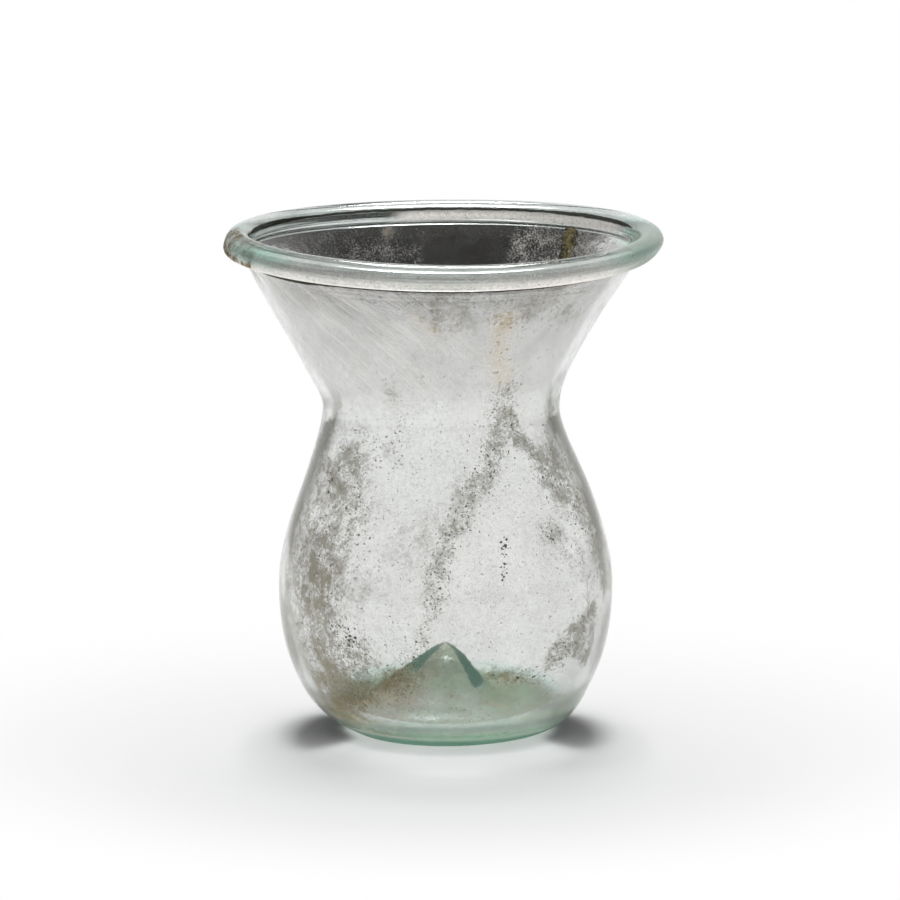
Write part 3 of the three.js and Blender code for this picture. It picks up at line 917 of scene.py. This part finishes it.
# The white share paints a highlight under the front of the roll.
PAINTED_HIGHLIGHT_MILK, PALE_MILK = 0.7, 0.24
HAZE, HAZE_IN_FUNNEL, HAZE_IN_MOUTH, HAZE_ON_ROLL, HAZE_OUTSIDE = 0.05, 0.5, 0.4, 0.5, 0.4
STROKES_LEAST, STROKES_OUTSIDE = 0.3, 0.5
GREEN_ROLL, GREEN_RIGHT, GREEN_LEFT = 0.1, 0.8, 0.75
# The edge share paints shade along the right edge of the neck.
DEEP_FOOT, DEEP_ROLL, PAINTED_SHADE_ON_EDGE = 0.85, 0.45, 0.3
SOIL_LEAST, GRIME, GRIME_LEFT, LESS_SOIL_ON_ROLL = 0.1, 0.25, 0.5, 0.6
SOIL_OUTSIDE, SOIL_ON_LEFT_ROLL, LESS_PITS_ON_LEFT = -2.5, 3.0, 0.6
# The glint share paints a highlight on the base as silvery film.
SILVER_BROKEN, PAINTED_GLINT_SILVER = 0.9, 0.8
STAIN_CORE = 0.3


def peak(*values):
    """The largest of some values at each vertex."""
    return np.maximum.reduce(np.broadcast_arrays(*values))


def dress_glass(mesh, unbent, inside):
    """Writes the film and soil values of each vertex."""
    x, y, z = unbent.T
    turn, radius = np.degrees(np.arctan2(y, x)) % 360, np.hypot(x, y)

    def goes(limits):
        return 1 - smoothstep(z, *limits)

    def spot(name):
        middle, half, edge, *heights = SPOTS[name]
        share = near_turn(turn, middle, half, edge)
        if heights:
            share = share * smoothstep(z, *heights[0])
        return share * goes(heights[1]) if len(heights) > 1 else share

    def spot_sum(spots):
        return sum(strength * near_turn(turn, *place) for *place, strength in spots)

    def along(path, reach, edge):
        return near_path(turn, z, radius, path, reach, edge)

    # Parts of the jar
    roll = smoothstep(z, *ROLL_COMES)
    funnel = smoothstep(z, *FUNNEL_COMES) * goes(FUNNEL_GOES)
    in_mouth = smoothstep(z, *MOUTH_COMES) * goes(MOUTH_GOES)
    base = np.where(radius < BASE_R_SHARE * VALLEY_R, 1.0, goes(BASE_GOES))
    back = 0.5 + 0.5 * np.sin(np.radians(turn))
    sides = smoothstep(np.abs(np.cos(np.radians(turn))), *THICK_SIDES)
    clean = peak(spot("clean right"), spot("clean left")) * (radius < CONE_R) * inside
    left_end = spot("green left")

    # Milky film, haze and strokes
    milk = (MILK - LESS_MILK_IN_FUNNEL * funnel - LESS_MILK_BEHIND * funnel * back) * (1 - roll)
    milk = (milk + MILK_ON_ROLL * roll) * (1 - LESS_MILK_IN_WINDOW * along(*CLEAR_WINDOW))
    milk = (milk * (1 - base) + MILK_ON_BASE * base) * (1 - LESS_MILK_WHERE_CLEAN * clean)
    # white is the painted highlight under the front of the roll: white film outside it, with less haze
    # there.
    white = spot("painted highlight front")
    outer_milk = MILK_ON_ROLL * (1 - roll) + peak(PAINTED_HIGHLIGHT_MILK * white, PALE_MILK * spot("pale front"))
    haze = HAZE + HAZE_IN_FUNNEL * smoothstep(z, *HAZE_COMES)
    haze = haze + HAZE_IN_MOUTH * smoothstep(z, *MORE_HAZE_COMES)
    stroke = funnel * (1 - back) * (STROKES_LEAST + (1 - STROKES_LEAST) * along(*STROKED_LEFT))

    # Soil, stains, silvery weathering, and a painted highlight on the front of the base
    soil = peak(zone_sum(turn, z, radius, SOIL_ZONES), SOIL_LEAST, area_sum(turn, z, SOIL_AREAS))
    soil = soil + (GRIME + GRIME_LEFT * spot("grimy left") - soil) * base
    soil = soil * (1 - LESS_SOIL_ON_ROLL * roll) * (1 - clean)
    tan = zone_sum(turn, z, radius, TAN_ZONES)
    for stain_x, stain_y, reach, strength in BASE_STAINS:
        spread = 1 - smoothstep(np.hypot(x - stain_x, y - stain_y), STAIN_CORE * reach, reach)
        tan = peak(tan, strength * spread * base)
    # A painted highlight on the front of the base, laid on as silvery film.
    painted_glint = 1 - smoothstep(np.hypot(x - PAINTED_GLINT_X, (y - PAINTED_GLINT_Y) * PAINTED_GLINT_SQUASH), *PAINTED_GLINT_GOES)
    silver_and_glint = peak(zone_sum(turn, z, radius, SILVER_ZONES), PAINTED_GLINT_SILVER * painted_glint * base,
                  SILVER_BROKEN * spot("broken tip") * (radius < TIP_R))
    for *place, strength in SILVER_FANS:
        silver_and_glint = peak(silver_and_glint, strength * near_turn(turn, *place) * in_mouth)

    # Colour of thick glass, and painted shade along the right edge of the neck
    green = roll * (GREEN_ROLL + GREEN_RIGHT * spot("green right") + GREEN_LEFT * left_end)
    deep_foot = DEEP_FOOT * goes(DEEP_GOES) * ~inside * (radius > RING_OUTER_R)
    deep = peak(deep_foot, clean, DEEP_ROLL * roll * spot("deep right"))
    deep = peak(deep, PAINTED_SHADE_ON_EDGE * along(*SHADED_NECK_EDGE) * inside)

    near_crease = (z > CREASE_HEIGHTS[0]) & (z < CREASE_HEIGHTS[1]) & ~inside
    values = {
        # Inside, the spot at the back lays a painted reflection into the film under the far rim.
        "milk": np.where(inside, peak(milk, spot("painted reflection back")), outer_milk),
        "haze": np.where(inside, haze + (HAZE_ON_ROLL - haze) * roll, HAZE + HAZE_OUTSIDE * (roll - white)),
        "strokes": np.where(inside, stroke, STROKES_OUTSIDE * stroke),
        "soil": np.where(inside, soil, SOIL_ON_LEFT_ROLL * left_end * roll + SOIL_OUTSIDE),
        "pits": soil * (1 - LESS_PITS_ON_LEFT * along(*SMOOTH_LEFT)),
        "tan": tan * inside,
        "silver_and_glint": silver_and_glint * inside,
        "base": base * inside,
        "thick": goes(THICK_GOES) * smoothstep(radius, *THICK_FROM_R) * sides,
        "green": peak(green + goes(GREEN_GOES) * ~inside, clean),
        "deep": deep,
        "crease": spot_sum(CREASE_SPOTS) * near_crease,
        "lip": spot_sum(LIP_SPOTS) * (inside & (z > LIP_HEIGHT)),
        "ridged": spot("ridges") * ~inside,
    }
    for name in GLASS_VALUES:
        set_attribute(mesh, name, values[name])


# Pieces

def turned_glass(name, section, tree, material):
    """One turned skin of the glass, dressed and bent."""
    section = np.array(section)
    points = np.stack((section[:, 0], np.zeros(len(section)), section[:, 1]), axis=1)
    row = plain_mesh(name, points, edges=[(i, i + 1) for i in range(len(points) - 1)])
    piece = made_by_nodes(name, row, tree, {
        "Section Points": len(points), "Turn Steps": TURN_STEPS, "Weld": WELD * MM, "Material": material,
    })
    mesh = piece.data
    unbent = mesh_points(mesh)
    tip_row = int(np.argmax(section[:, 1]))
    rows = unroll(mesh, section)
    dress_glass(mesh, unbent, rows > tip_row)
    set_points(mesh, handmade(unbent))
    return piece


def make_glass():
    """The blown wall and its folded rim in one skin, with the air that the fold traps."""
    section = glass_section()
    section[0][0] = section[-1][0] = 0
    lengths = section_lengths(section)
    corner = roll_underside(ROLL_INSET)
    under_roll = min((np.linalg.norm(p - corner), length) for p, length in zip(section, lengths))
    in_lip = min((abs(p[1] - LIP_LINE_Z), length) for p, length in zip(section, lengths)
                 if p[0] < ROLL_CENTRE[0] and length > under_roll[1])
    tree, material = turning_tree(), blown_glass((under_roll[1] - CREASE_LINE_DROP) * MM, in_lip[1] * MM)
    piece = turned_glass("jar_glass", section, tree, material)
    air = turned_glass("rim air", air_section(), tree, material)
    joined = bmesh.new()
    joined.from_mesh(air.data)
    clean_skin(joined, outward=False)
    joined.to_mesh(air.data)
    joined.clear()
    joined.from_mesh(piece.data)
    clean_skin(joined, outward=True)
    joined.from_mesh(air.data)
    joined.to_mesh(piece.data)
    joined.free()
    bpy.data.objects.remove(air)
    return piece


def clean_skin(skin, outward):
    """Turns every face of a closed skin the same way, out of it or into it."""
    if (skin.calc_volume(signed=True) > 0) != outward:
        bmesh.ops.reverse_faces(skin, faces=skin.faces)


def section_lengths(section):
    """Length along a section up to each of its points."""
    steps = np.linalg.norm(np.diff(np.array(section), axis=0), axis=1)
    return np.concatenate(([0], np.cumsum(steps)))


def unroll(mesh, section):
    """Turns the map's row shares into lengths along the section, and gives each vertex its row."""
    flat = np.empty(len(mesh.loops) * 2)
    layer = mesh.uv_layers["unrolled"]
    layer.uv.foreach_get("vector", flat)
    shares = flat.reshape(-1, 2)
    rows = np.rint(shares[:, 1] * (len(section) - 1)).astype(int)
    lengths = section_lengths(section)
    shares[:, 0] *= math.tau * BELLY_R * MM
    shares[:, 1] = lengths[rows] * MM
    layer.uv.foreach_set("vector", shares.ravel())
    corners = np.empty(len(mesh.loops), dtype=np.int32)
    mesh.loops.foreach_get("vertex_index", corners)
    vertex_rows = np.zeros(len(mesh.vertices), dtype=int)
    vertex_rows[corners] = rows
    return vertex_rows


def wall_foot(heights):
    """Radius of the inner wall at some heights."""
    order = np.argsort(INNER_WALL[:, 1])
    return np.interp(heights, INNER_WALL[order, 1], INNER_WALL[order, 0])


def base_height(radii):
    """Height of the inside of the base at some radii."""
    curve = valley_curve(np.linspace(0, 1, BASE_STEPS))
    return np.interp(radii, curve[:, 0], curve[:, 1])


# Soiled patches: their step, and the steps of the strip in the crease and its cover across
PATCH_STEP = 0.7
BASE_STEPS = 80
CREASE_STEPS = 160
CREASE_COVER = (0.1, 1.0, 0.1)


def soiled_patch(name, turns, spans, zones, areas=(), on_base=False):
    """A patch inside the glass with the cover of its zones; its spans are heights, or radii on the base."""
    turn_count = int((turns[1] - turns[0]) * np.pi / 180 * BELLY_R / PATCH_STEP) + 2
    span_count = int((spans[1] - spans[0]) / PATCH_STEP) + 2
    turn = np.repeat(np.linspace(*turns, turn_count), span_count)
    span = np.tile(np.linspace(*spans, span_count), turn_count)
    radius, height = (span, base_height(span)) if on_base else (wall_foot(span), span)
    angle = np.radians(turn)
    points = np.stack((radius * np.cos(angle), radius * np.sin(angle), height), axis=1)
    faces = [(i + j, i + j + 1, i + span_count + j + 1, i + span_count + j)
             for i in range(0, (turn_count - 1) * span_count, span_count) for j in range(span_count - 1)]
    mesh = plain_mesh(name, handmade(points), faces=faces)
    cover = zone_sum(turn % 360, height, radius, zones)
    set_attribute(mesh, "cover", np.maximum(cover, area_sum(turn % 360, height, areas)))
    return mesh


def crease_strip():
    """A strip along the crease, from the wall's outer face to the underside of the roll."""
    corner = roll_underside(ROLL_INSET)
    on_roll = roll_underside(ROLL_INSET + CREASE_SOIL_REACH)
    rows = (corner - CREASE_SOIL_REACH * FUNNEL_WAY, corner, on_roll)
    turns = np.linspace(*CREASE_SOIL_TURNS, CREASE_STEPS)
    points = [(r * math.cos(a), r * math.sin(a), z) for a in np.radians(turns) for r, z in rows]
    count = len(rows)
    faces = [(i + j, i + count + j, i + count + j + 1, i + j + 1)
             for i in range(0, (len(turns) - 1) * count, count) for j in range(count - 1)]
    mesh = plain_mesh("crease strip", handmade(points), faces=faces)
    share = np.repeat(np.sin(math.pi * np.linspace(0, 1, len(turns))), count)
    middle = np.tile(CREASE_COVER, len(turns))
    set_attribute(mesh, "cover", np.sqrt(share) * middle)
    return mesh


# The broken wad: its look, fineness, ragged edge and chipped depth
SCAR_COLOUR = (0.24, 0.46, 0.34, 1)
CHIP_COLOUR = (0.72, 0.74, 0.66, 1)
CHIPS, CHIP_BAND = (0.8, 3.0, 0.6), (0.48, 0.62)
WAD_SEED, WAD_RINGS, WAD_SPOKES, WAD_PROFILE_STEPS = 5, 9, 44, 120
WAD_WAVES, WAD_RAGGED = ((3, 0.12), (7, 0.08)), 0.05
WAD_SEAT_SHARE, WAD_CHIPPED, WAD_THINNING = 0.97, (0.45, 1.0), 0.75


def scar_glass():
    """Broken glass, green in its depth and whitish on its chipped edges."""
    material, tree, coords = new_material("scar glass")
    chips = band(noise(coords, *CHIPS), *CHIP_BAND)
    body = add_node(tree, "ShaderNodeBsdfPrincipled", {
        "Base Color": SCAR_COLOUR, "Roughness": 0.25, "IOR": GLASS_IOR, "Transmission Weight": 1.0,
    })
    white = add_node(tree, "ShaderNodeBsdfDiffuse", {"Color": CHIP_COLOUR})
    finish_material(mix_shader(chips, body.outputs[0], white.outputs[0]))
    return material


def make_wad():
    """The wad of glass that the pontil rod left: a chipped disc that follows the underside of the cone."""
    rings, spokes = WAD_RINGS, WAD_SPOKES
    rng = np.random.default_rng(WAD_SEED)
    profile = under_curve(np.linspace(0, 1, WAD_PROFILE_STEPS))
    steps = np.diff(profile, axis=0)
    ways_along = steps / np.linalg.norm(steps, axis=1)[:, None]
    points, rows = [], []
    for side in (0, 1):
        ring_starts = []
        for ring in range(rings + 1):
            share = ring / rings
            ring_starts.append(len(points))
            for spoke in range(spokes if ring else 1):
                angle = math.tau * spoke / spokes
                edge = 1 + sum(depth * math.sin(count * angle) for count, depth in WAD_WAVES)
                edge += WAD_RAGGED * rng.normal() * (share == 1)
                reach = share * edge * WAD_R * (1 if side else WAD_SEAT_SHARE)
                found = min(int(np.searchsorted(profile[:, 0], reach)), len(ways_along) - 1)
                foot, way = profile[found], ways_along[found]
                chipped = rng.uniform(*WAD_CHIPPED) * WAD_THICK * (1 - share * share * WAD_THINNING)
                depth = WAD_SEAT + side * chipped
                radius = max(0.0, foot[0] + way[1] * depth) if ring else 0.0
                points.append((radius * math.cos(angle), radius * math.sin(angle), foot[1] - way[0] * depth))
        rows.append(ring_starts)
    faces = []
    for side, starts in enumerate(rows):
        for ring in range(rings):
            for spoke in range(spokes):
                after = (spoke + 1) % spokes
                far = (starts[ring + 1] + spoke, starts[ring + 1] + after)
                near = (starts[0],) if ring == 0 else (starts[ring] + after, starts[ring] + spoke)
                faces.append((far + near)[:: 1 if side else -1])
    top, low = rows[0][-1], rows[1][-1]
    for spoke in range(spokes):
        after = (spoke + 1) % spokes
        faces.append((top + spoke, top + after, low + after, low + spoke))
    piece = new_object("pontil_scar", plain_mesh("pontil_scar", handmade(points), faces=faces))
    skin = bmesh.new()
    skin.from_mesh(piece.data)
    bmesh.ops.recalc_face_normals(skin, faces=skin.faces)
    clean_skin(skin, outward=True)
    skin.to_mesh(piece.data)
    skin.free()
    piece.data.materials.append(scar_glass())
    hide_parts("pontil_wad")
    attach(piece, BODY)


GRAINS = grain_tree()
GREY_SOIL = soil_material("grey soil", (0.055, 0.05, 0.028, 1), (0.42, 0.38, 0.27, 1))
OLIVE_SOIL = soil_material("olive soil", (0.06, 0.06, 0.03, 1), (0.38, 0.38, 0.28, 1))
TAN_SOIL = soil_material("tan soil", (0.16, 0.09, 0.035, 1), (0.56, 0.46, 0.30, 1))
STREAK_SOIL = soil_material("streak soil", (0.10, 0.08, 0.03, 1), (0.38, 0.32, 0.17, 1))
DARK_SOIL = soil_material("dark soil", (0.02, 0.022, 0.015, 1), (0.13, 0.13, 0.09, 1))


def make_grains(name, nodes, material, patch, per_mm2, sizes, seed):
    """A crust of grains on a patch, in place of some nodes."""
    piece = made_by_nodes(name, patch, GRAINS, {
        "Grains per mm2": per_mm2, "Smallest": sizes[0] * MM, "Largest": sizes[1] * MM,
        "Unevenness": sizes[1] * MM, "Seed": seed, "Material": material,
    })
    if nodes:
        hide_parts(*nodes)
    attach(piece, BODY)


glass = make_glass()
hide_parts("vessel_wall", "rim_fold")
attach(glass, BODY)

make_grains("left_crust", ["belly_soil_left"], GREY_SOIL,
            soiled_patch("left patch", (186, 242), (9, 56), SOIL_ZONES[0:3], SOIL_AREAS[1:2]),
            per_mm2=3.0, sizes=(0.05, 0.24), seed=11)
make_grains("slanting_crust", ["belly_soil_band"], GREY_SOIL,
            soiled_patch("band patch", (245, 312), (13, 68), SOIL_ZONES[5:8]),
            per_mm2=5.5, sizes=(0.05, 0.22), seed=12)
make_grains("branch_crust", ["belly_soil_branch"], OLIVE_SOIL,
            soiled_patch("branch patch", (300, 356), (28, 64), SOIL_ZONES[8:10]),
            per_mm2=2.5, sizes=(0.05, 0.24), seed=13)
make_grains("right_crust", ["belly_soil_right"], OLIVE_SOIL,
            soiled_patch("right patch", (305, 340), (12, 30), SOIL_ZONES[11:12], SOIL_AREAS[0:1]),
            per_mm2=6.0, sizes=(0.05, 0.2), seed=14)
make_grains("funnel_crust", ["funnel_soil_tan"], TAN_SOIL,
            soiled_patch("funnel patch", (285, 305), (67, 84), TAN_ZONES[0:1]),
            per_mm2=4.0, sizes=(0.05, 0.22), seed=15)
make_grains("mouth_streak", ["rim_soil_streak"], STREAK_SOIL,
            soiled_patch("streak patch", (36, 51), (78, 89), STREAK_ZONES),
            per_mm2=90.0, sizes=(0.2, 0.4), seed=16)
make_grains("mouth_streak_edge", [], DARK_SOIL,
            soiled_patch("streak edge patch", (36, 51), (78, 89), STREAK_EDGE_ZONES),
            per_mm2=90.0, sizes=(0.16, 0.34), seed=20)
make_grains("base_crust", ["base_soil_tan"], TAN_SOIL,
            soiled_patch("base patch", (185, 240), (9, 19), TAN_ZONES[2:3], on_base=True),
            per_mm2=4.0, sizes=(0.05, 0.2), seed=17)
make_grains("dark_runs", [], DARK_SOIL,
            soiled_patch("runs patch", (205, 320), (13, 52), DARK_RUNS),
            per_mm2=14.0, sizes=(0.1, 0.3), seed=19)
make_grains("crease_crust", ["crease_soil"], DARK_SOIL, crease_strip(),
            per_mm2=34.0, sizes=(0.1, 0.34), seed=18)
make_wad()


# Stage: the floor turns white for the camera, and dark far away for what the glass shows
FLOOR_REACH = 520.0
FLOOR_CORNERS = 96
WHITE_FROM = 45.0
WHITE_TO = 115.0
DARK_FROM = 380.0
DARK_TO = 510.0
FLOOR_TONE = 0.9
FLOOR_DARK = 0.015
LAMP_PLACE = (0, 330, 690)
LAMP_SIZE = 300
LAMP_POWER = 4.6

# Light of the room by the height of the way that a ray takes
FILL_BAND = (0.1, 0.9, 0.08, 0.35)
FRONT_BAND = (-0.3, -0.8)
FRONT_HEIGHTS = (0.0, 0.3)
FRONT_FILL = 0.3
BACKDROP_BAND = (0.02, 0.12, 0.02, 1.0)
CEILING_BAND = (0.4, 0.7, 1.0, 0.06)
CAMERA_CLIP_END = 10.0


def floor_material():
    """White where the camera looks, and a matt tone for the lamp's light and for what the glass shows."""
    material, tree, coords = new_material("studio floor")
    path = add_node(tree, "ShaderNodeLightPath").outputs
    reach = add_node(tree, "ShaderNodeVectorMath", {0: coords}, operation="LENGTH").outputs["Value"]
    far = band(reach, WHITE_FROM * MM, WHITE_TO * MM)
    dim = band(reach, DARK_FROM * MM, DARK_TO * MM, FLOOR_TONE, FLOOR_DARK)
    mirrored = most(path["Is Camera Ray"], path["Is Glossy Ray"])
    lit = add_node(tree, "ShaderNodeBsdfDiffuse", {"Color": grey(dim)})
    white = add_node(tree, "ShaderNodeEmission", {"Color": WHITE, "Strength": most(mirrored, dim)})
    seen = times(far, most(mirrored, path["Is Transmission Ray"]))
    finish_material(mix_shader(seen, lit.outputs[0], white.outputs[0]))
    return material


def make_floor():
    angles = np.linspace(0, math.tau, FLOOR_CORNERS, endpoint=False)
    points = np.stack((np.cos(angles), np.sin(angles), np.zeros(FLOOR_CORNERS)), axis=1) * FLOOR_REACH
    floor = new_object("floor", plain_mesh("floor", points, faces=[tuple(range(FLOOR_CORNERS))]))
    floor.data.materials.append(floor_material())


def make_lamp():
    """A softbox above and behind the jar that faces its foot."""
    data = bpy.data.lights.new("rear softbox", "AREA")
    data.shape = "RECTANGLE"
    data.size = data.size_y = LAMP_SIZE * MM
    data.energy = LAMP_POWER
    lamp = new_object("rear softbox", data)
    place = Vector(LAMP_PLACE) * MM
    lamp.location = place
    lamp.rotation_euler = (Vector() - place).to_track_quat("-Z", "Y").to_euler()


def make_world():
    """A white background for the camera, and a dim room for every other ray."""
    world = bpy.data.worlds.new("studio")
    world.use_nodes = True
    tree = world.node_tree
    tree.nodes.clear()
    path = add_node(tree, "ShaderNodeLightPath").outputs
    ray = add_node(tree, "ShaderNodeTexCoord").outputs["Generated"]
    way = add_node(tree, "ShaderNodeSeparateXYZ", {0: ray}).outputs
    height = way["Z"]
    front = times(band(way["Y"], *FRONT_BAND), band(height, *FRONT_HEIGHTS))
    room = plus(band(height, *FILL_BAND), times(front, FRONT_FILL))
    for ray_kind, limits in (("Is Glossy Ray", CEILING_BAND), ("Is Transmission Ray", BACKDROP_BAND)):
        room = add_node(tree, "ShaderNodeMix", {
            0: path[ray_kind], 2: room, 3: band(height, *limits),
        }, data_type="FLOAT").outputs[0]
    mixed = add_node(tree, "ShaderNodeBackground", {
        "Color": WHITE, "Strength": most(room, path["Is Camera Ray"]),
    })
    output = tree.nodes.new("ShaderNodeOutputWorld")
    tree.links.new(mixed.outputs[0], output.inputs["Surface"])
    bpy.context.scene.world = world


def make_camera():
    data = bpy.data.cameras.new("camera")
    data.lens = CAMERA_LENS
    data.sensor_width = CAMERA_SENSOR
    data.clip_end = CAMERA_CLIP_END
    camera = new_object("camera", data)
    camera.location = [value * MM for value in CAMERA_PLACE]
    camera.rotation_euler = (math.radians(90 - CAMERA_PITCH_DEG), 0, 0)
    bpy.context.scene.camera = camera


make_floor()
make_lamp()
make_world()
make_camera()
bpy.context.scene.view_settings.view_transform = "Standard"
